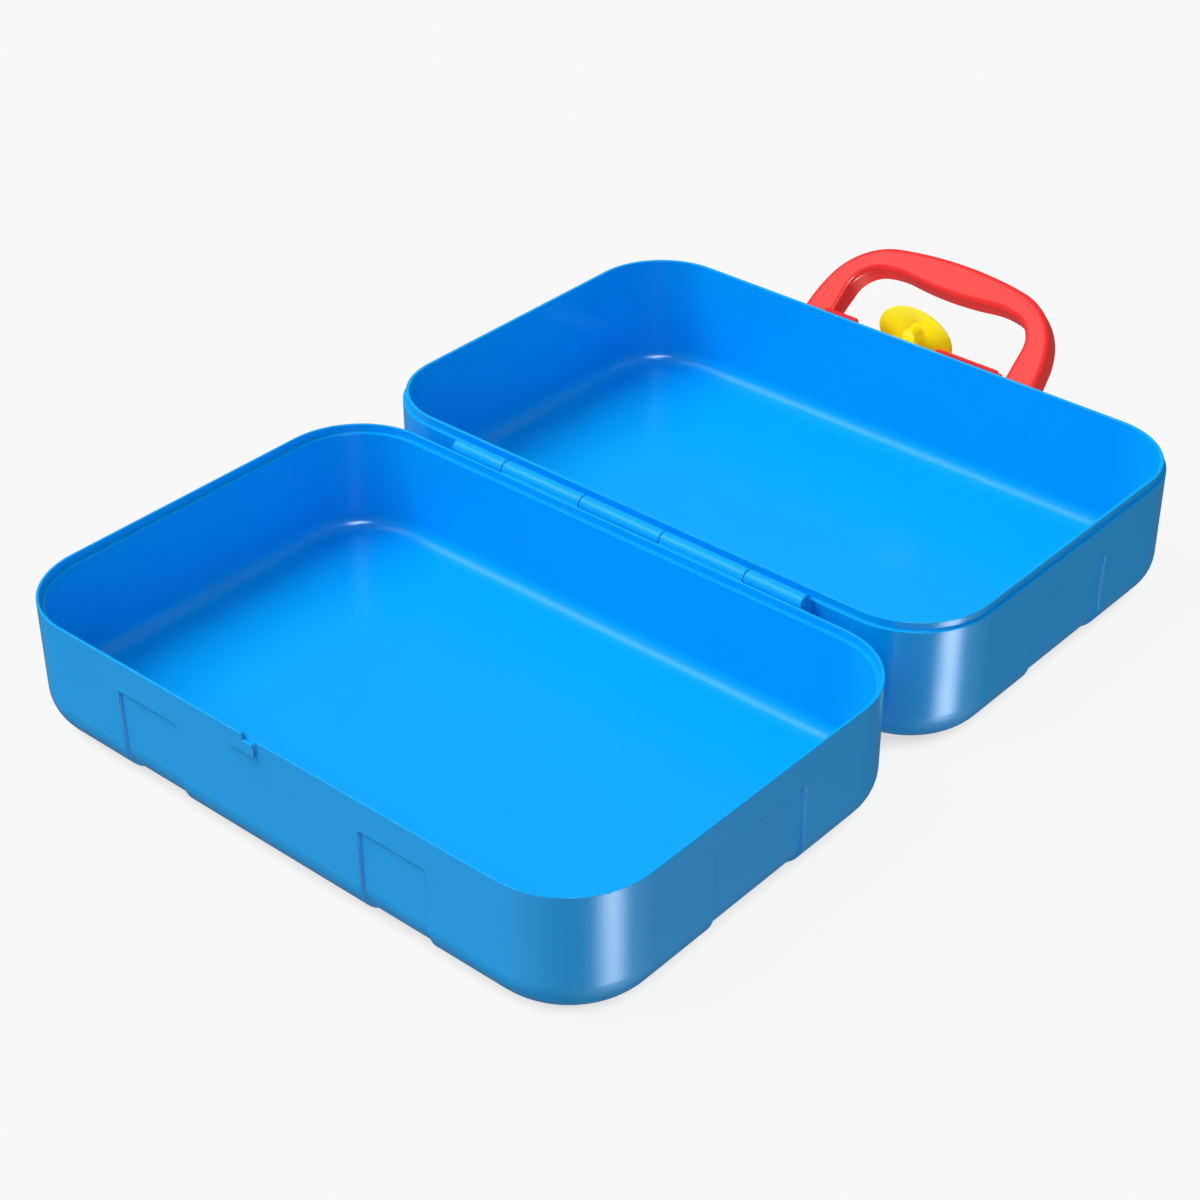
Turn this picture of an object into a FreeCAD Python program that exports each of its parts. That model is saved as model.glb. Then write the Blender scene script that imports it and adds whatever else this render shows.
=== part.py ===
import FreeCAD, Part
import math
import os

# Toy tool box of two equal trays on one hinge, lying open and flat.
# Millimetres, +Z up. The origin is the middle of the base tray's underside.
# The hinge runs along X, the base tray is on its +Y side, the lid on its -Y side.

# Trays
TRAY_LENGTH = 300.0
TRAY_WIDTH = 194.5
TRAY_HEIGHT = 56.5
CORNER_RADIUS = 36.7
BOTTOM_EDGE_RADIUS = 16.5
WALL = 3.0
FLOOR_TOP = 6.2
INNER_FLOOR_RADIUS = 7.0
RIM_ROUNDING = 0.3

# Recessed underside
FOOT_WIDTH = 24.0
PANEL_DEPTH = 3.0
CROSS_RIB_WIDTH = 12.0

# Tongue on the base rim and rebate in the lid rim
TONGUE_INSET = 1.4
TONGUE_HEIGHT = 3.6
TONGUE_SIDE_CLEARANCE = 0.2
TONGUE_TOP_CLEARANCE = 0.3
RIM_GAP_WHEN_CLOSED = 0.3

# Shallow strap recesses that run down the walls and under the bottom edge
STRAP_DEPTH = 1.05
STRAP_TOP = 42.2
STRAP_TOP_RADIUS = 1.5
STRAP_BORDER = 0.5
STRAP_BORDER_DEPTH = 0.35
LONG_WALL_STRAP_WIDTH = 32.0
LONG_WALL_STRAP_X = 63.75
SHORT_WALL_STRAP_WIDTH = 51.0

# Hinge
HINGE_RADIUS = 3.5
HINGE_WALL_GAP = 0.3
HINGE_LENGTH = 184.0
KNUCKLE_JOINTS = (21.2, 64.0)
KNUCKLE_GAP = 0.5
KNUCKLE_WEB_BOTTOM = 46.0
PIN_RADIUS = 1.9
PIN_CLEARANCE_FIXED = 0.03
PIN_CLEARANCE_RUNNING = 0.06
PIN_CHAMFER = 0.4

# Catch plate on the lid's long outer wall
CATCH_LEFT = -17.0
CATCH_STEP = -8.7
CATCH_RIGHT = -3.5
CATCH_BOTTOM = 49.9
CATCH_LOW_TOP = 55.55
CATCH_RISE_ABOVE_RIM = 1.75
CATCH_THICKNESS = 1.5
CATCH_WALL_GAP = 0.15
CATCH_ROUNDING = 0.4

# Red block on the base tray's long outer wall
BLOCK_BOTTOM = 43.6
BLOCK_TOP = 56.0
BLOCK_THICKNESS = 3.0
BLOCK_NOTCH_TOP = 54.4
TAB_TOP = 60.1
TAB_WALL_GAP = 0.4
TAB_THICKNESS = 1.2
TAB_END_RADIUS = 1.5
LEFT_TAB = (-46.8, -28.0)
RIGHT_TAB = (15.2, 48.6)
TAB_STEP_LENGTH = 2.2
TAB_STEP_DROP = 0.8
TAB_STEP_THICKNESS = 0.7
EAR_RADIUS = 5.4
EAR_LENGTH = 10.2
EAR_LEG_GAP = 0.4

# Handle, measured from its pivot axis along the leg
HANDLE_TILT = 39.25
HANDLE_PIVOT_OUT = 6.5
HANDLE_PIVOT_HEIGHT = 47.0
HANDLE_HALF_WIDTH = 63.6
LEG_WIDTH = 16.2
GRIP_WIDTH = 16.2
LEG_THICKNESS = 9.2
GRIP_THICKNESS = 12.4
BELLY_START = 11.0
BELLY_FULL = 29.0
HANDLE_TOP_ROUNDING = 2.6
HANDLE_BELLY_ROUNDING = 2.8
OUTER_LEG_RADIUS = 70.0
OUTER_LEG_START = 2.4
OUTER_LEG_TURN = 18.0
OUTER_CORNER_RADIUS = 34.0
OUTER_CORNER_TURN = 80.0
FINGER_HUMP_RADIUS = 160.0
FINGER_HOLLOW_RADIUS = 42.0
FINGER_HOLLOW_X = 27.0
FINGER_CORNER_RADIUS = 14.0
HANDLE_PIN_RADIUS = 2.5
HANDLE_PIN_CLEARANCE_FIXED = 0.02
HANDLE_PIN_CLEARANCE_RUNNING = 0.05
HANDLE_PIN_RECESS = 0.3

# Yellow turn latch
LATCH_X = -1.0
LATCH_HEIGHT = 55.0
LATCH_RUNNING_GAP = 0.3
HOOK_THICKNESS = 4.5
JOURNAL_LENGTH = 3.0
JOURNAL_RADIUS = 2.4
JOURNAL_CLEARANCE = 0.05
POST_SIDE = 3.0
POST_CLEARANCE = 0.03
HUB_RADIUS = 3.0
BAR_RADIUS = 3.35
BAR_SIDE_SHIFT = 1.5
BAR_HEIGHT = 6.05
BAR_FLARE = 0.75
WEB_LEFT = -0.4
WEB_RIGHT = 1.5
FINGER_WIDTH = 2.6
FINGER_LENGTH = 6.6
FINGER_CATCH_GAP = 0.3
OVAL_HALF_LENGTH = 19.9
OVAL_HALF_HEIGHT = 13.5
OVAL_THICKNESS = 1.4
OVAL_RISE = 2.7
OVAL_TURN = 4.0
OVAL_EDGE_ROUNDING = 0.5
RIDGE_LENGTH = 26.0
RIDGE_WIDTH = 5.0
RIDGE_HEIGHT = 3.2
RIDGE_ROUNDING = 1.4
SNAP_RING_WALL = 1.3
SNAP_RING_THICKNESS = 1.65
SNAP_OPENING_START = -14.0
SNAP_OPENING_END = 140.0
LATCH_POCKET_LEFT = 10.0
LATCH_POCKET_RIGHT = 10.5
LATCH_POCKET_FLOOR = 47.8

# Places that follow from the sizes above
HINGE_OFFSET = HINGE_RADIUS + HINGE_WALL_GAP
HINGE_Y = -TRAY_WIDTH / 2 - HINGE_OFFSET
HINGE_Z = TRAY_HEIGHT + RIM_GAP_WHEN_CLOSED / 2
LID_Y = 2 * HINGE_Y
LID_FRONT = LID_Y - TRAY_WIDTH / 2
WALL_Y = TRAY_WIDTH / 2
REBATE_LIP = TONGUE_INSET - TONGUE_SIDE_CLEARANCE
REBATE_DEPTH = TONGUE_HEIGHT - RIM_GAP_WHEN_CLOSED + TONGUE_TOP_CLEARANCE
HANDLE_PIVOT_Y = WALL_Y + HANDLE_PIVOT_OUT
LEG_INNER = HANDLE_HALF_WIDTH - LEG_WIDTH
EAR_END = LEG_INNER - EAR_LEG_GAP
HOOK_START = WALL_Y + LATCH_RUNNING_GAP
HOOK_END = HOOK_START + HOOK_THICKNESS
OVAL_START = HOOK_END + JOURNAL_LENGTH
SNAP_RING_START = HOOK_END + LATCH_RUNNING_GAP
SNAP_RING_END = SNAP_RING_START + SNAP_RING_THICKNESS
SNAP_RING_RADIUS = JOURNAL_RADIUS + JOURNAL_CLEARANCE + SNAP_RING_WALL
CLOSED_CATCH_END = 2 * HINGE_Z - CATCH_LOW_TOP
FINGER_LEFT = LATCH_HEIGHT - (CLOSED_CATCH_END - FINGER_CATCH_GAP)

ALONG_X = FreeCAD.Vector(1, 0, 0)
ALONG_Y = FreeCAD.Vector(0, 1, 0)
ORIGIN = FreeCAD.Vector(0, 0, 0)
OVERLAP = 0.5
TOLERANCE = 0.01


def vec(x, y, z):
    return FreeCAD.Vector(x, y, z)


def box(x0, x1, y0, y1, z0, z1):
    return Part.makeBox(x1 - x0, y1 - y0, z1 - z0, vec(x0, y0, z0))


def rod_x(radius, x0, x1, y, z):
    return Part.makeCylinder(radius, x1 - x0, vec(x0, y, z), ALONG_X)


def rod_y(radius, y0, y1, x, z):
    return Part.makeCylinder(radius, y1 - y0, vec(x, y0, z), ALONG_Y)


def edges_along(shape, direction):
    """Straight edges that run in the given direction."""
    return [
        edge for edge in shape.Edges
        if edge.Curve.TypeId == "Part::GeomLine" and abs(edge.Curve.Direction.dot(direction)) > 0.999
    ]


def edges_at_height(shape, z):
    """Edges that lie wholly at one height."""
    return [
        edge for edge in shape.Edges
        if abs(edge.BoundBox.ZMin - z) < TOLERANCE and abs(edge.BoundBox.ZMax - z) < TOLERANCE
    ]


def prism(inset, z0, z1):
    """Upright rounded rectangle, a given distance inside the tray's outline."""
    x = TRAY_LENGTH / 2 - inset
    y = TRAY_WIDTH / 2 - inset
    solid = box(-x, x, -y, y, z0, z1)
    return solid.makeFillet(CORNER_RADIUS - inset, edges_along(solid, vec(0, 0, 1)))


def tub(inset, z0, z1, bottom_radius):
    """The same rounded rectangle with its bottom edge rounded."""
    solid = prism(inset, z0, z1)
    return solid.makeFillet(bottom_radius, edges_at_height(solid, z0))


def strap_region(is_long_wall, side, along, border):
    """Block round one strap recess, wider by the border on its three sides."""
    top = STRAP_TOP + border
    if is_long_wall:
        half = LONG_WALL_STRAP_WIDTH / 2 + border
        inner = side * (TRAY_WIDTH / 2 - FOOT_WIDTH - OVERLAP)
        outer = side * (TRAY_WIDTH / 2 + OVERLAP)
        block = box(along - half, along + half, min(inner, outer), max(inner, outer), -OVERLAP, top)
        run = ALONG_Y
    else:
        half = SHORT_WALL_STRAP_WIDTH / 2 + border
        inner = side * (TRAY_LENGTH / 2 - FOOT_WIDTH - OVERLAP)
        outer = side * (TRAY_LENGTH / 2 + OVERLAP)
        block = box(min(inner, outer), max(inner, outer), along - half, along + half, -OVERLAP, top)
        run = ALONG_X
    top_edges = [edge for edge in edges_along(block, run) if edge.BoundBox.ZMin > top - TOLERANCE]
    return block.makeFillet(STRAP_TOP_RADIUS, top_edges)


def cut_strap_recesses(tray):
    """Cut the six recesses, each with a finer step round its border."""
    outside = tub(0, 0, TRAY_HEIGHT, BOTTOM_EDGE_RADIUS)
    for depth, border in ((STRAP_DEPTH, 0.0), (STRAP_BORDER_DEPTH, STRAP_BORDER)):
        core = tub(depth, depth, TRAY_HEIGHT + OVERLAP, BOTTOM_EDGE_RADIUS - depth)
        skin = outside.cut(core)
        for side in (-1, 1):
            for along in (-LONG_WALL_STRAP_X, LONG_WALL_STRAP_X):
                tray = tray.cut(skin.common(strap_region(True, side, along, border)))
            tray = tray.cut(skin.common(strap_region(False, side, 0.0, border)))
    return tray


def cut_underside(tray):
    """Two shallow panels under the floor, parted by a flat rib across the middle."""
    panels = prism(FOOT_WIDTH, -OVERLAP, PANEL_DEPTH)
    half = CROSS_RIB_WIDTH / 2
    rib = box(-half, half, -TRAY_WIDTH / 2, TRAY_WIDTH / 2, -OVERLAP, PANEL_DEPTH)
    return tray.cut(panels.cut(rib))


def hollow(tray, top):
    """Cut the inside down to the floor."""
    return tray.cut(tub(WALL, FLOOR_TOP, top, INNER_FLOOR_RADIUS))


def knuckle(x0, x1, tray_side, pin_clearance):
    """Hinge barrel with its web, joined to the tray on the +Y or -Y side."""
    far = HINGE_Y - tray_side * HINGE_RADIUS
    near = HINGE_Y + tray_side * (HINGE_OFFSET + OVERLAP)
    web = box(x0, x1, min(far, near), max(far, near), KNUCKLE_WEB_BOTTOM, TRAY_HEIGHT)
    barrel = rod_x(HINGE_RADIUS, x0, x1, HINGE_Y, HINGE_Z)
    bore = rod_x(PIN_RADIUS + pin_clearance, x0 - OVERLAP, x1 + OVERLAP, HINGE_Y, HINGE_Z)
    return web.fuse(barrel).cut(bore), bore


def knuckle_spans():
    """X spans of the five knuckles, from left to right."""
    inner, outer = KNUCKLE_JOINTS
    joints = (-outer, -inner, inner, outer)
    starts = [-HINGE_LENGTH / 2] + [x + KNUCKLE_GAP / 2 for x in joints]
    ends = [x - KNUCKLE_GAP / 2 for x in joints] + [HINGE_LENGTH / 2]
    return list(zip(starts, ends))


def add_knuckles(tray, spans, tray_side, pin_clearance):
    for x0, x1 in spans:
        body, bore = knuckle(x0, x1, tray_side, pin_clearance)
        tray = tray.fuse(body).cut(bore)
    return tray.removeSplitter()


def base_tray():
    tray = tub(0, 0, TRAY_HEIGHT, BOTTOM_EDGE_RADIUS)
    tray = tray.makeFillet(RIM_ROUNDING, edges_at_height(tray, TRAY_HEIGHT))
    tongue_top = TRAY_HEIGHT + TONGUE_HEIGHT
    tray = tray.fuse(prism(TONGUE_INSET, TRAY_HEIGHT - OVERLAP, tongue_top))
    tray = hollow(tray, tongue_top + OVERLAP).removeSplitter()
    tray = tray.makeFillet(RIM_ROUNDING, edges_at_height(tray, tongue_top))
    tray = cut_strap_recesses(cut_underside(tray))
    return add_knuckles(tray, knuckle_spans()[0::2], 1, PIN_CLEARANCE_FIXED)


def catch_plate():
    """Plate on the lid's outer wall: its left part stands above the rim."""
    outer = LID_FRONT - CATCH_THICKNESS
    top = TRAY_HEIGHT + CATCH_RISE_ABOVE_RIM
    tall = box(CATCH_LEFT, CATCH_STEP, outer, LID_FRONT - CATCH_WALL_GAP, CATCH_BOTTOM, top)
    inner = LID_FRONT - CATCH_WALL_GAP
    low = box(CATCH_STEP - OVERLAP, CATCH_RIGHT, outer, inner, CATCH_BOTTOM, CATCH_LOW_TOP)
    plate = tall.fuse(low).removeSplitter()
    front = [
        edge for edge in plate.Edges
        if edge.BoundBox.YMax < outer + TOLERANCE
    ]
    plate = plate.makeFillet(CATCH_ROUNDING, front)
    seat_top = min(CATCH_LOW_TOP, TRAY_HEIGHT - RIM_ROUNDING)
    seat = box(CATCH_LEFT, CATCH_RIGHT, inner, LID_FRONT + OVERLAP, CATCH_BOTTOM, seat_top)
    return plate.fuse(seat)


def lid_tray():
    tray = hollow(tub(0, 0, TRAY_HEIGHT, BOTTOM_EDGE_RADIUS), TRAY_HEIGHT + OVERLAP)
    tray = tray.cut(prism(REBATE_LIP, TRAY_HEIGHT - REBATE_DEPTH, TRAY_HEIGHT + OVERLAP))
    tray = tray.makeFillet(RIM_ROUNDING, edges_at_height(tray, TRAY_HEIGHT))
    tray = cut_strap_recesses(cut_underside(tray))
    tray.translate(vec(0, LID_Y, 0))
    tray = tray.fuse(catch_plate())
    return add_knuckles(tray, knuckle_spans()[1::2], -1, PIN_CLEARANCE_RUNNING)


def chamfered_pin(radius, x0, x1, y, z):
    pin = rod_x(radius, x0, x1, y, z)
    ends = [edge for edge in pin.Edges if edge.Curve.TypeId == "Part::GeomCircle"]
    return pin.makeChamfer(PIN_CHAMFER, ends)


def hinge_pin():
    return chamfered_pin(PIN_RADIUS, -HINGE_LENGTH / 2, HINGE_LENGTH / 2, HINGE_Y, HINGE_Z)


def locating_tab(span):
    """Thin upright tab with rounded upper corners, standing off the tray's wall."""
    y0 = WALL_Y + TAB_WALL_GAP
    tab = box(span[0], span[1], y0, y0 + TAB_THICKNESS, BLOCK_NOTCH_TOP - OVERLAP, TAB_TOP)
    corners = [edge for edge in edges_along(tab, ALONG_Y) if edge.BoundBox.ZMin > TAB_TOP - TOLERANCE]
    return tab.makeFillet(TAB_END_RADIUS, corners)


def ear(side):
    """Round boss beside one handle leg, joined back to the block."""
    outer = side * EAR_END
    inner = side * (EAR_END - EAR_LENGTH)
    x0 = min(inner, outer)
    x1 = max(inner, outer)
    boss = rod_x(EAR_RADIUS, x0, x1, HANDLE_PIVOT_Y, HANDLE_PIVOT_HEIGHT)
    low = max(BLOCK_BOTTOM, HANDLE_PIVOT_HEIGHT - EAR_RADIUS)
    neck = box(x0, x1, WALL_Y, HANDLE_PIVOT_Y, low, HANDLE_PIVOT_HEIGHT + EAR_RADIUS)
    return boss.fuse(neck)


def snap_ring():
    """Open ring that the latch journal snaps into, on a stem from the block."""
    z = LATCH_HEIGHT
    outer = rod_y(SNAP_RING_RADIUS, SNAP_RING_START, SNAP_RING_END, LATCH_X, z)
    stem_left = LATCH_X - SNAP_RING_RADIUS
    stem = box(stem_left, LATCH_X - LATCH_RUNNING_GAP, SNAP_RING_START, SNAP_RING_END, BLOCK_BOTTOM, z)
    ring = outer.fuse(stem)
    ring = ring.cut(rod_y(JOURNAL_RADIUS + JOURNAL_CLEARANCE, WALL_Y, OVAL_START, LATCH_X, z))
    reach = 4 * SNAP_RING_RADIUS
    middle = (SNAP_OPENING_START + SNAP_OPENING_END) / 2
    corners = [vec(LATCH_X, SNAP_RING_START - OVERLAP, z)]
    for angle in (SNAP_OPENING_START, middle, SNAP_OPENING_END):
        turn = math.radians(angle)
        x = LATCH_X + reach * math.sin(turn)
        corners.append(vec(x, SNAP_RING_START - OVERLAP, z + reach * math.cos(turn)))
    opening = Part.Face(Part.makePolygon(corners + corners[:1]))
    return ring.cut(opening.extrude(vec(0, SNAP_RING_THICKNESS + 2 * OVERLAP, 0)))


def handle_base():
    """Red block: back plate between the legs, two tabs, two ears and the latch's snap ring."""
    back = WALL_Y + BLOCK_THICKNESS
    pocket_left = LATCH_X - LATCH_POCKET_LEFT
    pocket_right = LATCH_X + LATCH_POCKET_RIGHT
    block = box(-EAR_END, EAR_END, WALL_Y, back, BLOCK_BOTTOM, BLOCK_TOP)
    shelf = box(pocket_left, pocket_right, WALL_Y, SNAP_RING_END, BLOCK_BOTTOM, LATCH_POCKET_FLOOR)
    front, rear = WALL_Y - OVERLAP, back + OVERLAP
    notch = box(LEFT_TAB[1], RIGHT_TAB[0], front, rear, BLOCK_NOTCH_TOP, BLOCK_TOP + OVERLAP)
    pocket = box(pocket_left, pocket_right, front, rear, LATCH_POCKET_FLOOR, BLOCK_TOP)
    block = block.cut(notch).cut(pocket).fuse(shelf).fuse(snap_ring())
    step_start = WALL_Y + TAB_WALL_GAP
    step = box(
        RIGHT_TAB[1] - OVERLAP, RIGHT_TAB[1] + TAB_STEP_LENGTH,
        step_start, step_start + TAB_STEP_THICKNESS,
        BLOCK_TOP - OVERLAP, TAB_TOP - TAB_STEP_DROP,
    )
    for piece in (locating_tab(LEFT_TAB), locating_tab(RIGHT_TAB), step, ear(-1), ear(1)):
        block = block.fuse(piece)
    bore_radius = HANDLE_PIN_RADIUS + HANDLE_PIN_CLEARANCE_FIXED
    for side in (-1, 1):
        x0 = min(side * (EAR_END - EAR_LENGTH), side * EAR_END) - OVERLAP
        bore = rod_x(bore_radius, x0, x0 + EAR_LENGTH + 2 * OVERLAP, HANDLE_PIVOT_Y, HANDLE_PIVOT_HEIGHT)
        block = block.cut(bore)
    return block.removeSplitter()


def arc(centre, radius, start, end):
    """Arc seen along Z between two points that lie on the circle."""
    first = math.atan2(start.y - centre.y, start.x - centre.x)
    last = math.atan2(end.y - centre.y, end.x - centre.x)
    middle = (first + last) / 2
    through = vec(centre.x + radius * math.cos(middle), centre.y + radius * math.sin(middle), 0)
    return Part.Arc(start, through, end).toShape()


def toward(start, target, distance):
    """Point at a distance from the start, on the line through the target."""
    return start + (target - start).normalize() * distance


def on_circle(centre, radius, degrees):
    """Point of a circle at an angle from X towards Y."""
    turn = math.radians(degrees)
    return centre + vec(math.cos(turn), math.sin(turn), 0) * radius


def outer_half_outline():
    """Right half of the outer edge: leg that leans inward, round corner, nearly flat top."""
    leg_start = vec(HANDLE_HALF_WIDTH, OUTER_LEG_START, 0)
    leg_centre = leg_start - vec(OUTER_LEG_RADIUS, 0, 0)
    leg_end = on_circle(leg_centre, OUTER_LEG_RADIUS, OUTER_LEG_TURN)
    corner_centre = on_circle(leg_end, OUTER_CORNER_RADIUS, OUTER_LEG_TURN + 180)
    corner_end = on_circle(corner_centre, OUTER_CORNER_RADIUS, OUTER_CORNER_TURN)
    top_radius = corner_end.x / math.cos(math.radians(OUTER_CORNER_TURN))
    top_centre = on_circle(corner_end, top_radius, OUTER_CORNER_TURN + 180)
    return [
        arc(top_centre, top_radius, vec(0, top_centre.y + top_radius, 0), corner_end),
        arc(corner_centre, OUTER_CORNER_RADIUS, corner_end, leg_end),
        arc(leg_centre, OUTER_LEG_RADIUS, leg_end, leg_start),
        Part.makeLine(leg_start, vec(HANDLE_HALF_WIDTH, -LEG_THICKNESS, 0)),
    ]


def inner_half_outline(top):
    """Right half of the finger side: hump in the middle, hollow, corner, straight leg."""
    reach = top - GRIP_WIDTH
    hump_centre = vec(0, reach + FINGER_HUMP_RADIUS, 0)
    drop = math.sqrt((FINGER_HUMP_RADIUS + FINGER_HOLLOW_RADIUS) ** 2 - FINGER_HOLLOW_X ** 2)
    hollow_centre = vec(FINGER_HOLLOW_X, hump_centre.y - drop, 0)
    corner_x = LEG_INNER - FINGER_CORNER_RADIUS
    across = corner_x - FINGER_HOLLOW_X
    rise = math.sqrt((FINGER_HOLLOW_RADIUS - FINGER_CORNER_RADIUS) ** 2 - across ** 2)
    corner_centre = vec(corner_x, hollow_centre.y + rise, 0)
    hump_end = toward(hump_centre, hollow_centre, FINGER_HUMP_RADIUS)
    hollow_end = toward(hollow_centre, corner_centre, FINGER_HOLLOW_RADIUS)
    leg_end = vec(LEG_INNER, corner_centre.y, 0)
    return [
        arc(hump_centre, FINGER_HUMP_RADIUS, vec(0, reach, 0), hump_end),
        arc(hollow_centre, FINGER_HOLLOW_RADIUS, hump_end, hollow_end),
        arc(corner_centre, FINGER_CORNER_RADIUS, hollow_end, leg_end),
        Part.makeLine(leg_end, vec(LEG_INNER, -LEG_THICKNESS, 0)),
    ]


def handle_outline():
    """Face of the handle seen square on: X across, Y outward from the pivot axis."""
    root_outer = vec(HANDLE_HALF_WIDTH, -LEG_THICKNESS, 0)
    root = Part.makeLine(root_outer, vec(LEG_INNER, -LEG_THICKNESS, 0))
    outer = outer_half_outline()
    top = max(vertex.Y for vertex in outer[0].Vertexes)
    right = outer + [root] + inner_half_outline(top)
    left = [edge.mirror(ORIGIN, ALONG_X) for edge in right]
    return Part.Face(Part.Wire(Part.__sortEdges__(right + left)))


def handle_side_profile():
    """Side view of the handle: round root, flat top, and a belly under the grip."""
    half = LEG_THICKNESS / 2
    belly = half - GRIP_THICKNESS
    x = -HANDLE_HALF_WIDTH - OVERLAP
    end = HANDLE_HALF_WIDTH
    run = BELLY_FULL - BELLY_START
    drop = GRIP_THICKNESS - LEG_THICKNESS
    bend_radius = (run ** 2 + drop ** 2) / (4 * drop)
    half_turn = math.asin(run / 2 / bend_radius) / 2
    side = bend_radius * math.sin(half_turn)
    dip = bend_radius * (1 - math.cos(half_turn))
    middle = vec(x, BELLY_START + run / 2, (belly - half) / 2)
    root = Part.Arc(vec(x, 0, half), vec(x, -half, 0), vec(x, 0, -half)).toShape()
    leg = Part.makeLine(vec(x, 0, -half), vec(x, BELLY_START, -half))
    leg_end = vec(x, BELLY_START, -half)
    belly_end = vec(x, BELLY_FULL, belly)
    bend_down = Part.Arc(leg_end, vec(x, BELLY_START + side, -half - dip), middle).toShape()
    bend_flat = Part.Arc(middle, vec(x, BELLY_FULL - side, belly + dip), belly_end).toShape()
    rest = Part.makePolygon([
        vec(x, BELLY_FULL, belly), vec(x, end, belly), vec(x, end, half), vec(x, 0, half),
    ])
    wire = Part.Wire([root, leg, bend_down, bend_flat] + rest.Edges)
    return Part.Face(wire).extrude(vec(-2 * x, 0, 0))


def rounded_handle(thickness):
    """The handle's outline at one thickness, with rounded top and bottom edges."""
    top = LEG_THICKNESS / 2
    outline = handle_outline()
    outline.translate(vec(0, 0, top))
    solid = outline.extrude(vec(0, 0, -thickness)).removeSplitter()
    solid = solid.makeFillet(HANDLE_BELLY_ROUNDING, edges_at_height(solid, top - thickness))
    return solid.makeFillet(HANDLE_TOP_ROUNDING, edges_at_height(solid, top))


def handle_grip():
    profile = handle_side_profile()
    legs = rounded_handle(LEG_THICKNESS).common(profile)
    deep_grip = rounded_handle(GRIP_THICKNESS).common(profile)
    bore_radius = HANDLE_PIN_RADIUS + HANDLE_PIN_CLEARANCE_RUNNING
    end = HANDLE_HALF_WIDTH + OVERLAP
    grip = legs.fuse(deep_grip).cut(rod_x(bore_radius, -end, end, 0, 0))
    grip.rotate(ORIGIN, ALONG_X, HANDLE_TILT)
    grip.translate(vec(0, HANDLE_PIVOT_Y, HANDLE_PIVOT_HEIGHT))
    return grip


def handle_pin(side):
    inner = side * (EAR_END - EAR_LENGTH + HANDLE_PIN_RECESS)
    outer = side * (HANDLE_HALF_WIDTH - HANDLE_PIN_RECESS)
    x0 = min(inner, outer)
    x1 = max(inner, outer)
    return chamfered_pin(HANDLE_PIN_RADIUS, x0, x1, HANDLE_PIVOT_Y, HANDLE_PIVOT_HEIGHT)


def latch_bar(y0, y1):
    """Upright bar with a round top, to the side of the turning axis."""
    x = LATCH_X + BAR_SIDE_SHIFT
    top = LATCH_HEIGHT + BAR_HEIGHT
    bar = box(x - BAR_RADIUS, x + BAR_RADIUS, y0, y1, LATCH_HEIGHT, top)
    return bar.fuse(rod_y(BAR_RADIUS, y0, y1, x, top)).removeSplitter()


def latch_hook():
    """Bar, hub and finger on the inner end of the knob."""
    hub = rod_y(HUB_RADIUS, HOOK_START, HOOK_END, LATCH_X, LATCH_HEIGHT)
    left = LATCH_X + FINGER_LEFT
    right = left + FINGER_WIDTH
    finger = box(left, right, HOOK_START, HOOK_END, LATCH_HEIGHT - FINGER_LENGTH, LATCH_HEIGHT)
    hook = latch_bar(HOOK_START, HOOK_END).fuse(hub).fuse(finger)
    half = POST_SIDE / 2 + POST_CLEARANCE
    low, high = LATCH_HEIGHT - half, LATCH_HEIGHT + half
    socket = box(LATCH_X - half, LATCH_X + half, WALL_Y, OVAL_START, low, high)
    return hook.cut(socket).removeSplitter()


def oval_plate():
    centre_height = LATCH_HEIGHT + OVAL_RISE
    oval = Part.Ellipse(ORIGIN, OVAL_HALF_LENGTH, OVAL_HALF_HEIGHT).toShape()
    plate = Part.Face(Part.Wire([oval])).extrude(vec(0, 0, OVAL_THICKNESS))
    rims = edges_at_height(plate, 0) + edges_at_height(plate, OVAL_THICKNESS)
    plate = plate.makeFillet(OVAL_EDGE_ROUNDING, rims)
    half_length = RIDGE_LENGTH / 2
    half_width = RIDGE_WIDTH / 2
    ridge = box(-half_length, half_length, -half_width, half_width, -RIDGE_HEIGHT, OVAL_THICKNESS / 2)
    corners = edges_along(ridge, vec(0, 0, 1)) + edges_at_height(ridge, -RIDGE_HEIGHT)
    ridge = ridge.makeFillet(RIDGE_ROUNDING, corners)
    plate = plate.fuse(ridge)
    plate.rotate(ORIGIN, ALONG_X, 90)
    plate.rotate(ORIGIN, ALONG_Y, OVAL_TURN)
    plate.translate(vec(LATCH_X, OVAL_START + OVAL_THICKNESS, centre_height))
    return plate


def latch_knob():
    """Oval thumb plate with its flared bar, journal and square post."""
    bar = latch_bar(HOOK_END, OVAL_START + OVERLAP)
    clear = SNAP_RING_RADIUS + LATCH_RUNNING_GAP
    bar = bar.cut(rod_y(clear, HOOK_END - OVERLAP, OVAL_START, LATCH_X, LATCH_HEIGHT))
    journal = rod_y(JOURNAL_RADIUS, HOOK_END, OVAL_START + OVERLAP, LATCH_X, LATCH_HEIGHT)
    web = box(
        LATCH_X + WEB_LEFT, LATCH_X + WEB_RIGHT, HOOK_END, OVAL_START + OVERLAP,
        LATCH_HEIGHT, LATCH_HEIGHT + clear + OVERLAP,
    )
    half = POST_SIDE / 2
    low, high = LATCH_HEIGHT - half, LATCH_HEIGHT + half
    post = box(LATCH_X - half, LATCH_X + half, HOOK_START, HOOK_END + OVERLAP, low, high)
    flare_x = LATCH_X + BAR_SIDE_SHIFT
    flare = Part.makeCone(
        BAR_RADIUS, BAR_RADIUS + BAR_FLARE, BAR_FLARE,
        vec(flare_x, OVAL_START - BAR_FLARE, LATCH_HEIGHT + BAR_HEIGHT), ALONG_Y,
    )
    knob = oval_plate()
    for piece in (bar, journal, web, flare, post):
        knob = knob.fuse(piece)
    return knob.removeSplitter()


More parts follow.
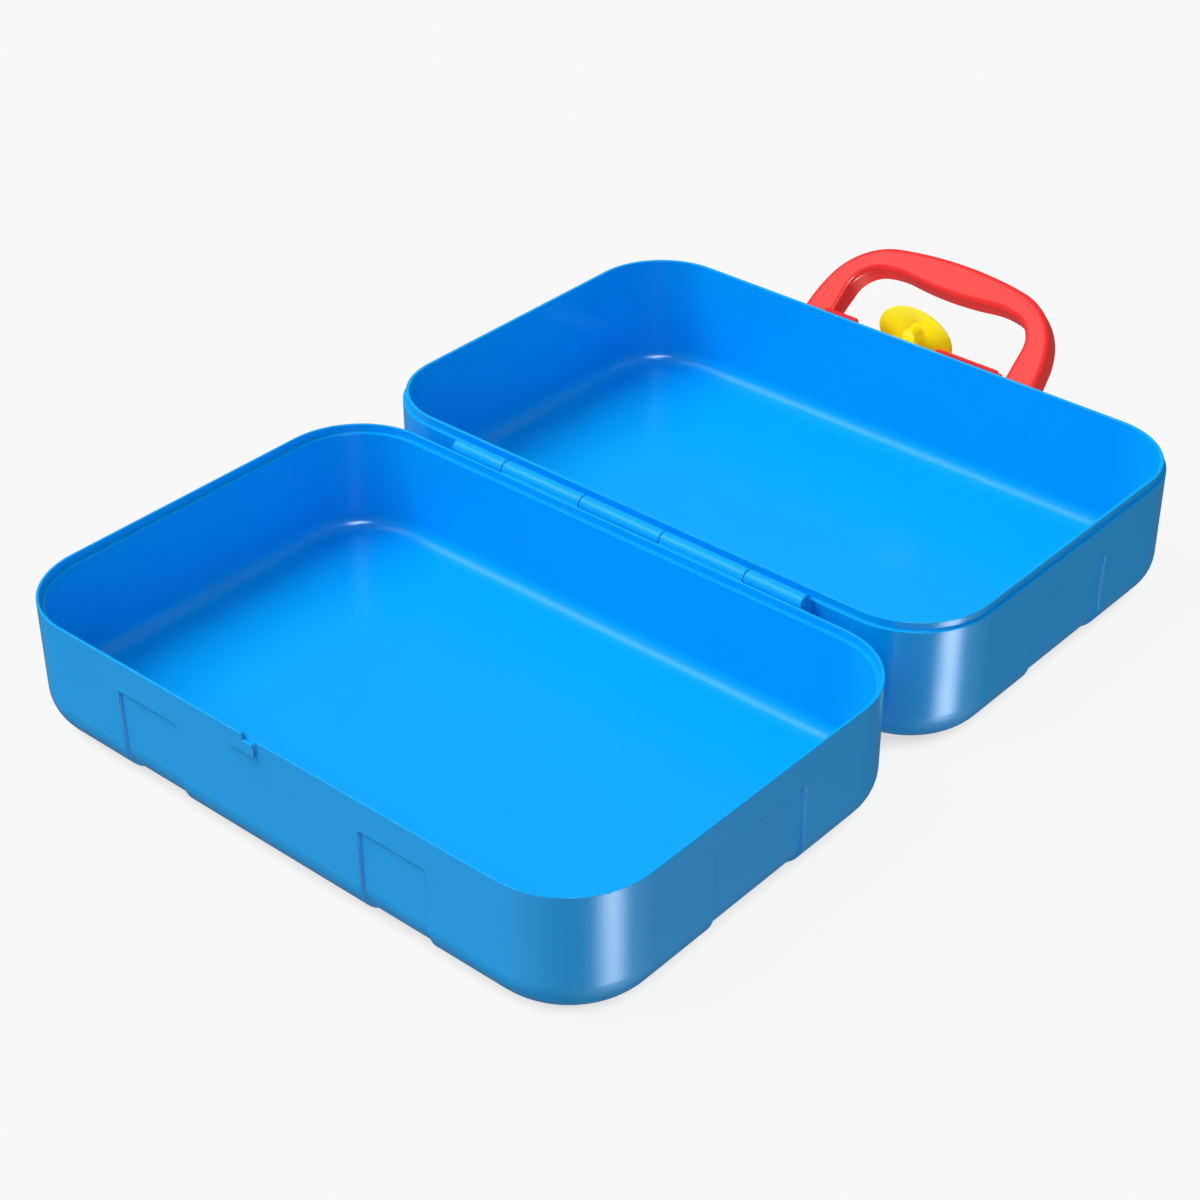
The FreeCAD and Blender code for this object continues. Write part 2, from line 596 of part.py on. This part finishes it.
PIECES = {
    "base_tray": base_tray,
    "lid_tray": lid_tray,
    "hinge_pin": hinge_pin,
    "handle_base": handle_base,
    "handle_grip": handle_grip,
    "handle_pin_left": lambda: handle_pin(-1),
    "handle_pin_right": lambda: handle_pin(1),
    "latch_knob": latch_knob,
    "latch_hook": latch_hook,
}

os.makedirs("parts", exist_ok=True)
for name, make in PIECES.items():
    shape = make()
    solids = shape.Solids
    print(f"{name}: {len(solids)} solid, valid {shape.isValid()}, volume {shape.Volume / 1000:.2f} cm3")
    solids[0].exportStep(f"parts/{name}.step")
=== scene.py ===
# %% [markdown]
# # A toy tool box, opened flat
# Two shallow blue plastic trays share one long hinge. A red carrying handle and a yellow
# turning latch sit on the far wall of the rear tray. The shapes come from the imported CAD
# model, so this lesson is about everything else: the view, the light and the plastics.
# Every length is in metres, in the frame of the CAD model: X runs along the hinge, Y runs
# from the lid tray towards the handle, and Z is up, with the floor at zero.

# %% Load the fixed frame
import math

import bpy
from mathutils import Matrix, Vector

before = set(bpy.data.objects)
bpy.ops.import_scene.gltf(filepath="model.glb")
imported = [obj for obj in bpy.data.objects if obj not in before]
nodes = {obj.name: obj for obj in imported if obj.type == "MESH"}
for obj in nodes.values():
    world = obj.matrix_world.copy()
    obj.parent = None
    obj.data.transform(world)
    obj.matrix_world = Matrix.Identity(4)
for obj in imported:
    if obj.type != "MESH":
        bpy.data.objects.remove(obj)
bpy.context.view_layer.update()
print("pieces from the frame:", ", ".join(sorted(nodes)))

# %% [markdown]
# ## The view
# The camera stands on the lid's side, to the right, and looks down at about 34 degrees.
# A camera could be aimed with a Track To constraint, but the place and the three axes
# were solved from the edges of the trays, so they are written into the camera's matrix.

# %% Camera
CAMERA_PLACE = Vector((0.556574, -0.757965, 0.593044))
CAMERA_RIGHT = Vector((0.7565246, 0.65396328, -0.00159977))
CAMERA_UP = Vector((-0.36215227, 0.42098317, 0.83163628))
LENS_MM = 75.2238
SENSOR_MM = 36.0

camera_data = bpy.data.cameras.new("view")
camera_data.sensor_width = SENSOR_MM
camera_data.lens = LENS_MM
camera = bpy.data.objects.new("view", camera_data)
bpy.context.scene.collection.objects.link(camera)
turn = Matrix((CAMERA_RIGHT, CAMERA_UP, CAMERA_RIGHT.cross(CAMERA_UP))).transposed()
camera.matrix_world = Matrix.Translation(CAMERA_PLACE) @ turn.to_4x4()
bpy.context.scene.camera = camera
bpy.context.scene.view_settings.view_transform = "Standard"
print("camera elevation:", round(math.degrees(math.asin(turn.col[2].z)), 2), "degrees")

# %% [markdown]
# ## Small helpers for node trees
# Every shader below is a handful of nodes joined by hand. Two helpers keep that short:
# one adds a node and fills its values, the other joins an output to an input.

# %% Node helpers
def add_node(tree, kind, place, **values):
    """A new node of that kind at a place in the tree, with its own properties set."""
    node = tree.nodes.new(kind)
    node.location = place
    for name, value in values.items():
        setattr(node, name, value)
    return node


def join(tree, source, target):
    """One link of the tree, from an output socket to an input socket."""
    tree.links.new(source, target)


def arithmetic(tree, operation, place, first, second=None, clamp=False):
    """A Math node fed with sockets or plain numbers. Gives its output socket."""
    node = add_node(tree, "ShaderNodeMath", place, operation=operation, use_clamp=clamp)
    for index, value in enumerate((first, second)):
        if isinstance(value, (int, float)):
            node.inputs[index].default_value = value
        elif value is not None:
            join(tree, value, node.inputs[index])
    return node.outputs[0]


# %% [markdown]
# ## The light
# The box stands in an even studio. One broad lamp comes from the upper left and gives the
# inner walls their soft shade. The rest is the world: it lights matt surfaces evenly, and
# shows glossy ones a pale room with a few soft panels. The one on the right draws the
# upright streak on the rounded corners, the one over the camera the small glints in the
# floor's corners, and the one on the left the sheen on top of the handle. Lamps could
# draw these too, but they would also lighten walls that are dark on the real box.

# %% Key lamp
def add_lamp(name, towards, level, spread):
    """A sun lamp seen by matt surfaces alone. The level is what a facing surface gets."""
    lamp_data = bpy.data.lights.new(name, "SUN")
    lamp_data.energy = level * math.pi
    lamp_data.angle = math.radians(spread)
    lamp = bpy.data.objects.new(name, lamp_data)
    lamp.rotation_euler = towards.to_track_quat("Z", "Y").to_euler()
    lamp.visible_glossy = False
    bpy.context.scene.collection.objects.link(lamp)
    print(name, "lights a level surface with", round(level * towards.normalized().z, 3))
    return lamp


add_lamp("key_lamp", Vector((-0.37, -0.28, 0.60)), 0.80, 38)

# %% [markdown]
# ## A fill for the small parts
# The finger side of the handle looks forward and down, at the tray, and would stay brown.
# On the real box the bright paper in front lights it. A second lamp from the front and
# below stands for that paper. Light linking keeps it to the handle and the latch, because
# on the trays it would wash out the dark side walls, and they would also stand in its way.

# %% Fill lamp with light linking
FILL_LEVEL = 0.80
SMALL_PARTS = ("handle_grip", "handle_base", "handle_pin_left", "handle_pin_right",
               "latch_knob", "latch_hook")

small_parts = bpy.data.collections.new("small_parts")
for name in SMALL_PARTS:
    small_parts.objects.link(nodes[name])
fill = add_lamp("fill_lamp", Vector((0.35, -0.72, -0.60)), FILL_LEVEL, 60)
fill.light_linking.receiver_collection = small_parts
fill.light_linking.blocker_collection = small_parts

# %% World: an even room for matt surfaces
ROOM_ABOVE = 0.62
ROOM_BELOW = 0.54
BACKGROUND = 0.939

world = bpy.data.worlds.new("studio")
bpy.context.scene.world = world
world.use_nodes = True
room = world.node_tree
room.nodes.clear()
direction = add_node(room, "ShaderNodeTexCoord", (-1400, 0)).outputs["Generated"]
split = add_node(room, "ShaderNodeSeparateXYZ", (-1200, 0))
join(room, direction, split.inputs[0])
height = add_node(room, "ShaderNodeMapRange", (-800, 250), interpolation_type="SMOOTHSTEP")
join(room, split.outputs["Z"], height.inputs["Value"])
height.inputs["From Min"].default_value = -0.08
height.inputs["From Max"].default_value = 0.08
height.inputs["To Min"].default_value = ROOM_BELOW
height.inputs["To Max"].default_value = ROOM_ABOVE
matt_light = height.outputs["Result"]
print("room above and below:", ROOM_ABOVE, ROOM_BELOW)

# %% World: the room that gloss shows
GLOSS_ABOVE = 0.07
GLOSS_BELOW = 0.15

gloss = add_node(room, "ShaderNodeMapRange", (-800, -50), interpolation_type="SMOOTHSTEP")
join(room, split.outputs["Z"], gloss.inputs["Value"])
gloss.inputs["From Min"].default_value = -0.15
gloss.inputs["From Max"].default_value = 0.15
gloss.inputs["To Min"].default_value = GLOSS_BELOW
gloss.inputs["To Max"].default_value = GLOSS_ABOVE
gloss_light = gloss.outputs["Result"]


def aim(azimuth, elevation):
    """The direction at that azimuth from +X towards +Y, and that elevation."""
    azimuth, elevation = math.radians(azimuth), math.radians(elevation)
    return Vector((math.cos(azimuth) * math.cos(elevation),
                   math.sin(azimuth) * math.cos(elevation), math.sin(elevation)))


def offset_along(axis, half_angle, place):
    """1 where the view runs through the middle of a panel, 0 past its half angle."""
    lean = add_node(room, "ShaderNodeVectorMath", place, operation="DOT_PRODUCT")
    lean.inputs[1].default_value = axis
    join(room, direction, lean.inputs[0])
    away = arithmetic(room, "ABSOLUTE", (place[0] + 200, place[1]), lean.outputs["Value"])
    soft = add_node(room, "ShaderNodeMapRange", (place[0] + 400, place[1]),
                    interpolation_type="SMOOTHSTEP")
    join(room, away, soft.inputs["Value"])
    soft.inputs["From Min"].default_value = 0
    soft.inputs["From Max"].default_value = math.sin(math.radians(half_angle))
    soft.inputs["To Min"].default_value = 1
    soft.inputs["To Max"].default_value = 0
    return soft.outputs["Result"]


def panel(azimuth, elevation, half_width, half_height, level, y):
    """The glow of one soft-edged panel of the room, as a socket. Angles in degrees."""
    middle = aim(azimuth, elevation)
    side = Vector((0, 0, 1)).cross(middle).normalized()
    across = offset_along(side, half_width, (-1200, y))
    along = offset_along(middle.cross(side), half_height, (-1200, y - 200))
    facing = add_node(room, "ShaderNodeVectorMath", (-1200, y - 400),
                      operation="DOT_PRODUCT")
    facing.inputs[1].default_value = middle
    join(room, direction, facing.inputs[0])
    in_front = arithmetic(room, "GREATER_THAN", (-1000, y - 400),
                          facing.outputs["Value"], 0.2)
    glow = arithmetic(room, "MULTIPLY", (-500, y), across, along)
    glow = arithmetic(room, "MULTIPLY", (-300, y), glow, in_front)
    return arithmetic(room, "MULTIPLY", (-100, y), glow, level)


PANELS = {
    "upright panel on the right": (-3, -26, 19, 31, 20.0),
    "haze round that panel": (3, -46, 50, 40, 1.8),
    "pale paper in front": (-92, -30, 66, 45, 0.80),
    "soft box over the camera": (-42, 44, 16, 14, 36.0),
    "soft box on the left": (-149, 52, 28, 26, 1.7),
}
for row, (name, values) in enumerate(PANELS.items()):
    glow = panel(*values, -400 - 700 * row)
    gloss_light = arithmetic(room, "ADD", (200, -200 - 700 * row), gloss_light, glow)
    print(name, "is aimed", values[0], values[1])

# %% World: which ray sees which room
rays = add_node(room, "ShaderNodeLightPath", (0, 500))
seen = add_node(room, "ShaderNodeMix", (400, 100))
join(room, rays.outputs["Is Glossy Ray"], seen.inputs["Factor"])
join(room, matt_light, seen.inputs["A"])
join(room, gloss_light, seen.inputs["B"])
behind = add_node(room, "ShaderNodeMix", (600, 100))
behind.inputs["B"].default_value = BACKGROUND
straight = arithmetic(room, "MAXIMUM", (400, 400), rays.outputs["Is Camera Ray"],
                      rays.outputs["Is Transmission Ray"])
join(room, straight, behind.inputs["Factor"])
join(room, seen.outputs["Result"], behind.inputs["A"])
light = add_node(room, "ShaderNodeBackground", (800, 100))
join(room, behind.outputs["Result"], light.inputs["Strength"])
world_output = add_node(room, "ShaderNodeOutputWorld", (1000, 100))
join(room, light.outputs[0], world_output.inputs["Surface"])
print("world nodes:", len(room.nodes))

# %% [markdown]
# ## The floor
# The floor of the picture is nearly white, and the box's shadow is only a soft darkening
# in the gap beside the trays. A plain white floor under this light would throw much light
# back on the walls, so the floor is a thin matt layer that takes the lamp's shadow, on
# top of a glow that only the camera sees. Ambient occlusion dims that glow where the
# trays stand close.

# %% Floor
FLOOR_HALF = 4.0
FLOOR_MATT = 0.035
FLOOR_GLOW = 0.90
GAP_REACH = 0.06
GAP_DARKEST = 0.72

floor_mesh = bpy.data.meshes.new("floor")
floor_mesh.from_pydata(
    [(-FLOOR_HALF, -FLOOR_HALF, 0), (FLOOR_HALF, -FLOOR_HALF, 0),
     (FLOOR_HALF, FLOOR_HALF, 0), (-FLOOR_HALF, FLOOR_HALF, 0)],
    [], [(0, 1, 2, 3)])
floor = bpy.data.objects.new("floor", floor_mesh)
bpy.context.scene.collection.objects.link(floor)
floor.visible_diffuse = False
floor.visible_glossy = False

paper = bpy.data.materials.new("pale_floor")
paper.use_nodes = True
sheet = paper.node_tree
sheet.nodes.clear()
matt = add_node(sheet, "ShaderNodeBsdfDiffuse", (0, 0))
matt.inputs["Color"].default_value = (FLOOR_MATT, FLOOR_MATT, FLOOR_MATT, 1)
nearby = add_node(sheet, "ShaderNodeAmbientOcclusion", (-800, -400), samples=16)
nearby.inputs["Distance"].default_value = GAP_REACH
dimmed = add_node(sheet, "ShaderNodeMapRange", (-600, -400))
join(sheet, nearby.outputs["AO"], dimmed.inputs["Value"])
dimmed.inputs["From Min"].default_value = 0.10
dimmed.inputs["From Max"].default_value = 0.36
dimmed.inputs["To Min"].default_value = FLOOR_GLOW * GAP_DARKEST
dimmed.inputs["To Max"].default_value = FLOOR_GLOW
rays = add_node(sheet, "ShaderNodeLightPath", (-800, -100))
straight = arithmetic(sheet, "MAXIMUM", (-600, -100), rays.outputs["Is Camera Ray"],
                      rays.outputs["Is Transmission Ray"])
straight = arithmetic(sheet, "MULTIPLY", (-300, -200), straight, dimmed.outputs["Result"])
glow = add_node(sheet, "ShaderNodeEmission", (0, -200))
join(sheet, straight, glow.inputs["Strength"])
both = add_node(sheet, "ShaderNodeAddShader", (200, 0))
join(sheet, matt.outputs[0], both.inputs[0])
join(sheet, glow.outputs[0], both.inputs[1])
sheet_output = add_node(sheet, "ShaderNodeOutputMaterial", (400, 0))
join(sheet, both.outputs[0], sheet_output.inputs["Surface"])
floor_mesh.materials.append(paper)
print("floor is", 2 * FLOOR_HALF, "m wide")

# %% [markdown]
# ## What all the plastics share
# Each piece is injection moulded: its colour drifts a little where the melt cooled, its
# skin carries a fine grain from the mould, and its edges are never quite sharp. The edges
# are also painted a little lighter, partly as rubbed wear and partly as a painted highlight
# where the rounding catches light. These could be painted as images, but noise in object
# coordinates needs no image and keeps its scale on every piece. The effects are shader node
# groups, built once and set differently in each material.

# %% Group: mould grain
def new_group(name, inputs, outputs):
    """An empty shader node group with named sockets. Gives the tree and its two ends."""
    tree = bpy.data.node_groups.new(name, "ShaderNodeTree")
    for label, kind, value in inputs:
        socket = tree.interface.new_socket(label, in_out="INPUT", socket_type=kind)
        if value is not None:
            socket.default_value = value
    for label, kind in outputs:
        tree.interface.new_socket(label, in_out="OUTPUT", socket_type=kind)
    start = add_node(tree, "NodeGroupInput", (-1400, 0))
    end = add_node(tree, "NodeGroupOutput", (900, 0))
    return tree, start, end


def noise(tree, place, vector, scale, detail=2.0):
    """A Noise Texture around 0.5 on that vector. Gives its value."""
    node = add_node(tree, "ShaderNodeTexNoise", place)
    join(tree, vector, node.inputs["Vector"])
    node.inputs["Detail"].default_value = detail
    if isinstance(scale, (int, float)):
        node.inputs["Scale"].default_value = scale
    else:
        join(tree, scale, node.inputs["Scale"])
    return node.outputs["Fac"]


FLOAT = "NodeSocketFloat"
COLOUR = "NodeSocketColor"
VECTOR = "NodeSocketVector"

grain_group, start, end = new_group(
    "mould_grain",
    [("Colour", COLOUR, (0.5, 0.5, 0.5, 1)), ("Colour Drift", FLOAT, 0.05),
     ("Roughness", FLOAT, 0.3), ("Roughness Drift", FLOAT, 0.1),
     ("Grain Scale", FLOAT, 2500.0), ("Flow", FLOAT, 2.0)],
    [("Colour", COLOUR), ("Roughness", FLOAT), ("Height", FLOAT)])
place = add_node(grain_group, "ShaderNodeTexCoord", (-1400, -300)).outputs["Object"]

clouds = noise(grain_group, (-1000, 300), place, 28.0, 3.0)
centred = arithmetic(grain_group, "SUBTRACT", (-800, 300), clouds, 0.5)
drift = arithmetic(grain_group, "MULTIPLY", (-600, 300), centred,
                   start.outputs["Colour Drift"])
shade = arithmetic(grain_group, "ADD", (-400, 300), drift, 1.0)
tint = add_node(grain_group, "ShaderNodeVectorMath", (-200, 300), operation="SCALE")
join(grain_group, start.outputs["Colour"], tint.inputs[0])
join(grain_group, shade, tint.inputs["Scale"])
join(grain_group, tint.outputs[0], end.inputs["Colour"])

smears = noise(grain_group, (-1000, 0), place, 70.0, 4.0)
centred = arithmetic(grain_group, "SUBTRACT", (-800, 0), smears, 0.5)
drift = arithmetic(grain_group, "MULTIPLY", (-600, 0), centred,
                   start.outputs["Roughness Drift"])
rough = arithmetic(grain_group, "ADD", (-400, 0), drift, start.outputs["Roughness"], True)
join(grain_group, rough, end.inputs["Roughness"])

grain = noise(grain_group, (-1000, -300), place, start.outputs["Grain Scale"], 2.0)
flow = noise(grain_group, (-1000, -500), place, 260.0, 3.0)
flow = arithmetic(grain_group, "MULTIPLY", (-800, -500), flow, start.outputs["Flow"])
relief = arithmetic(grain_group, "ADD", (-600, -400), grain, flow)
join(grain_group, relief, end.inputs["Height"])
print("group:", grain_group.name)

# %% Group: rubbed edges with a painted highlight
edge_group, start, end = new_group(
    "edge_wear_and_highlight",
    [("Colour", COLOUR, (0.5, 0.5, 0.5, 1)), ("Edge Colour", COLOUR, (0.8, 0.8, 0.8, 1)),
     ("Edge Width", FLOAT, 0.0004), ("Amount", FLOAT, 0.5)],
    [("Colour", COLOUR), ("Edge", FLOAT), ("Normal", VECTOR)])
place = add_node(edge_group, "ShaderNodeTexCoord", (-1400, -300)).outputs["Object"]
eased = add_node(edge_group, "ShaderNodeBevel", (-1100, 0), samples=6)
join(edge_group, start.outputs["Edge Width"], eased.inputs["Radius"])
surface = add_node(edge_group, "ShaderNodeNewGeometry", (-1100, 200))
agree = add_node(edge_group, "ShaderNodeVectorMath", (-900, 100), operation="DOT_PRODUCT")
join(edge_group, eased.outputs[0], agree.inputs[0])
join(edge_group, surface.outputs["Normal"], agree.inputs[1])
edge = add_node(edge_group, "ShaderNodeMapRange", (-700, 100))
join(edge_group, agree.outputs["Value"], edge.inputs["Value"])
edge.inputs["From Min"].default_value = 0.99
edge.inputs["From Max"].default_value = 0.80
patches = noise(edge_group, (-900, -300), place, 160.0, 3.0)
patchy = add_node(edge_group, "ShaderNodeMapRange", (-700, -300))
join(edge_group, patches, patchy.inputs["Value"])
patchy.inputs["From Min"].default_value = 0.35
patchy.inputs["From Max"].default_value = 0.65
# The lighter edge colour is partly rubbed wear and partly a painted highlight where the
# rounded edge catches the light.
rub_and_shine = arithmetic(edge_group, "MULTIPLY", (-500, 0), edge.outputs["Result"],
                    patchy.outputs["Result"])
rub_and_shine = arithmetic(edge_group, "MULTIPLY", (-300, 0), rub_and_shine, start.outputs["Amount"], True)
worn_and_highlit = add_node(edge_group, "ShaderNodeMix", (-100, 100), data_type="RGBA")
join(edge_group, rub_and_shine, worn_and_highlit.inputs["Factor"])
join(edge_group, start.outputs["Colour"], worn_and_highlit.inputs["A"])
join(edge_group, start.outputs["Edge Colour"], worn_and_highlit.inputs["B"])
join(edge_group, worn_and_highlit.outputs["Result"], end.inputs["Colour"])
join(edge_group, rub_and_shine, end.inputs["Edge"])
join(edge_group, eased.outputs[0], end.inputs["Normal"])
print("group:", edge_group.name)

# %% Group: fine scuffs
scuff_group, start, end = new_group(
    "fine_scuffs",
    [("Amount", FLOAT, 0.3), ("Scale", FLOAT, 220.0)],
    [("Scuff", FLOAT)])
place = add_node(scuff_group, "ShaderNodeTexCoord", (-1400, -300)).outputs["Object"]
bent = add_node(scuff_group, "ShaderNodeTexNoise", (-1200, -500))
join(scuff_group, place, bent.inputs["Vector"])
bent.inputs["Scale"].default_value = 14.0
turned = add_node(scuff_group, "ShaderNodeVectorMath", (-1000, -300),
                  operation="MULTIPLY_ADD")
join(scuff_group, bent.outputs["Color"], turned.inputs[0])
turned.inputs[1].default_value = (0.02, 0.02, 0.02)
join(scuff_group, place, turned.inputs[2])
stretch = add_node(scuff_group, "ShaderNodeMapping", (-800, -300))
join(scuff_group, turned.outputs[0], stretch.inputs["Vector"])
stretch.inputs["Rotation"].default_value = (0.5, 0.35, 0.8)
stretch.inputs["Scale"].default_value = (1.0, 14.0, 6.0)
lines = noise(scuff_group, (-600, -300), stretch.outputs[0], start.outputs["Scale"], 1.0)
thin = add_node(scuff_group, "ShaderNodeMapRange", (-400, -300))
join(scuff_group, lines, thin.inputs["Value"])
thin.inputs["From Min"].default_value = 0.66
thin.inputs["From Max"].default_value = 0.74
patches = noise(scuff_group, (-600, 0), place, 18.0, 2.0)
where = add_node(scuff_group, "ShaderNodeMapRange", (-400, 0))
join(scuff_group, patches, where.inputs["Value"])
where.inputs["From Min"].default_value = 0.48
where.inputs["From Max"].default_value = 0.66
marks = arithmetic(scuff_group, "MULTIPLY", (-200, 0), thin.outputs["Result"],
                   where.outputs["Result"])
marks = arithmetic(scuff_group, "MULTIPLY", (0, 0), marks, start.outputs["Amount"], True)
join(scuff_group, marks, end.inputs["Scuff"])
print("group:", scuff_group.name)


# %% [markdown]
# ## The finishes
# The trays are a saturated blue with a satin gloss, the handle is a harder, shinier red,
# and the latch is a bright yellow. All three are the same kind of plastic, so one function
# wires the three groups into a Principled BSDF, and each finish is one call with its own
# values. The steady values, such as the refractive index, sit on the shader's own sockets.

# %% A moulded plastic
def use_group(tree, group, place, **values):
    """A group placed in a material, with its named inputs set."""
    node = add_node(tree, "ShaderNodeGroup", place, node_tree=group)
    for label, value in values.items():
        node.inputs[label.replace("_", " ")].default_value = value
    return node


def plastic(name, colour, edge_colour, roughness, roughness_drift=0.08, colour_drift=0.06,
            grain_scale=2500.0, grain_depth=0.000004, edge_width=0.0004, edge_amount=0.5,
            scuffs=0.2, glow_through=0.0):
    """A procedural moulded plastic. Gives the material."""
    material = bpy.data.materials.new(name)
    material.use_nodes = True
    tree = material.node_tree
    tree.nodes.clear()
    skin = use_group(tree, grain_group, (-900, 100), Colour=(*colour, 1),
                     Colour_Drift=colour_drift, Roughness=roughness,
                     Roughness_Drift=roughness_drift, Grain_Scale=grain_scale)
    # The edge colour makes the edges lighter, partly as rubbed wear and partly as a painted
    # highlight, and also colours the scuffs.
    edges = use_group(tree, edge_group, (-600, 100), Edge_Colour=(*edge_colour, 1),
                      Edge_Width=edge_width, Amount=edge_amount)
    join(tree, skin.outputs["Colour"], edges.inputs["Colour"])
    marks = use_group(tree, scuff_group, (-900, -300), Amount=scuffs)
    scuffed = add_node(tree, "ShaderNodeMix", (-300, 250), data_type="RGBA")
    join(tree, marks.outputs["Scuff"], scuffed.inputs["Factor"])
    join(tree, edges.outputs["Colour"], scuffed.inputs["A"])
    scuffed.inputs["B"].default_value = (*edge_colour, 1)
    dulled = arithmetic(tree, "MULTIPLY", (-600, -200), marks.outputs["Scuff"], 0.35)
    rough = arithmetic(tree, "ADD", (-400, -100), skin.outputs["Roughness"], dulled, True)
    bump = add_node(tree, "ShaderNodeBump", (-200, -250))
    bump.inputs["Strength"].default_value = 1.0
    bump.inputs["Distance"].default_value = grain_depth
    join(tree, skin.outputs["Height"], bump.inputs["Height"])
    join(tree, edges.outputs["Normal"], bump.inputs["Normal"])
    shader = add_node(tree, "ShaderNodeBsdfPrincipled", (50, 100))
    shader.inputs["IOR"].default_value = 1.48
    shader.inputs["Subsurface Weight"].default_value = glow_through
    shader.inputs["Subsurface Scale"].default_value = 0.003
    shader.inputs["Subsurface Radius"].default_value = (1.0, 0.8, 0.15)
    join(tree, scuffed.outputs["Result"], shader.inputs["Base Color"])
    join(tree, rough, shader.inputs["Roughness"])
    join(tree, bump.outputs[0], shader.inputs["Normal"])
    output = add_node(tree, "ShaderNodeOutputMaterial", (350, 100))
    join(tree, shader.outputs[0], output.inputs["Surface"])
    return material


tray_blue = plastic("tray_blue", (0.0, 0.40, 0.96), (0.02, 0.50, 1.0), roughness=0.23,
                    scuffs=0.12)
hinge_blue = plastic("hinge_blue", (0.0, 0.37, 0.90), (0.02, 0.47, 0.97), roughness=0.30,
                     scuffs=0.1)
handle_red = plastic("handle_red", (0.92, 0.035, 0.032), (1.0, 0.10, 0.08), roughness=0.22,
                     grain_depth=0.000003, scuffs=0.15)
block_red = plastic("block_red", (0.88, 0.030, 0.028), (1.0, 0.09, 0.07), roughness=0.26,
                    grain_depth=0.000003, scuffs=0.15)
pin_red = plastic("pin_red", (0.82, 0.028, 0.026), (1.0, 0.12, 0.10), roughness=0.26,
                  edge_width=0.0002, scuffs=0.1)
latch_yellow = plastic("latch_yellow", (1.0, 0.745, 0.008), (1.0, 0.88, 0.06),
                       roughness=0.24, grain_depth=0.000003, edge_width=0.0003,
                       scuffs=0.05, glow_through=0.4)
print("finishes:", len(bpy.data.materials))

# %% Hand out the finishes
FINISHES = {
    "base_tray": tray_blue,
    "lid_tray": tray_blue,
    "hinge_pin": hinge_blue,
    "handle_base": block_red,
    "handle_grip": handle_red,
    "handle_pin_left": pin_red,
    "handle_pin_right": pin_red,
    "latch_knob": latch_yellow,
    "latch_hook": latch_yellow,
}
for name, finish in FINISHES.items():
    for held in nodes[name].material_slots:
        held.material = finish
    print(name, "is", finish.name)
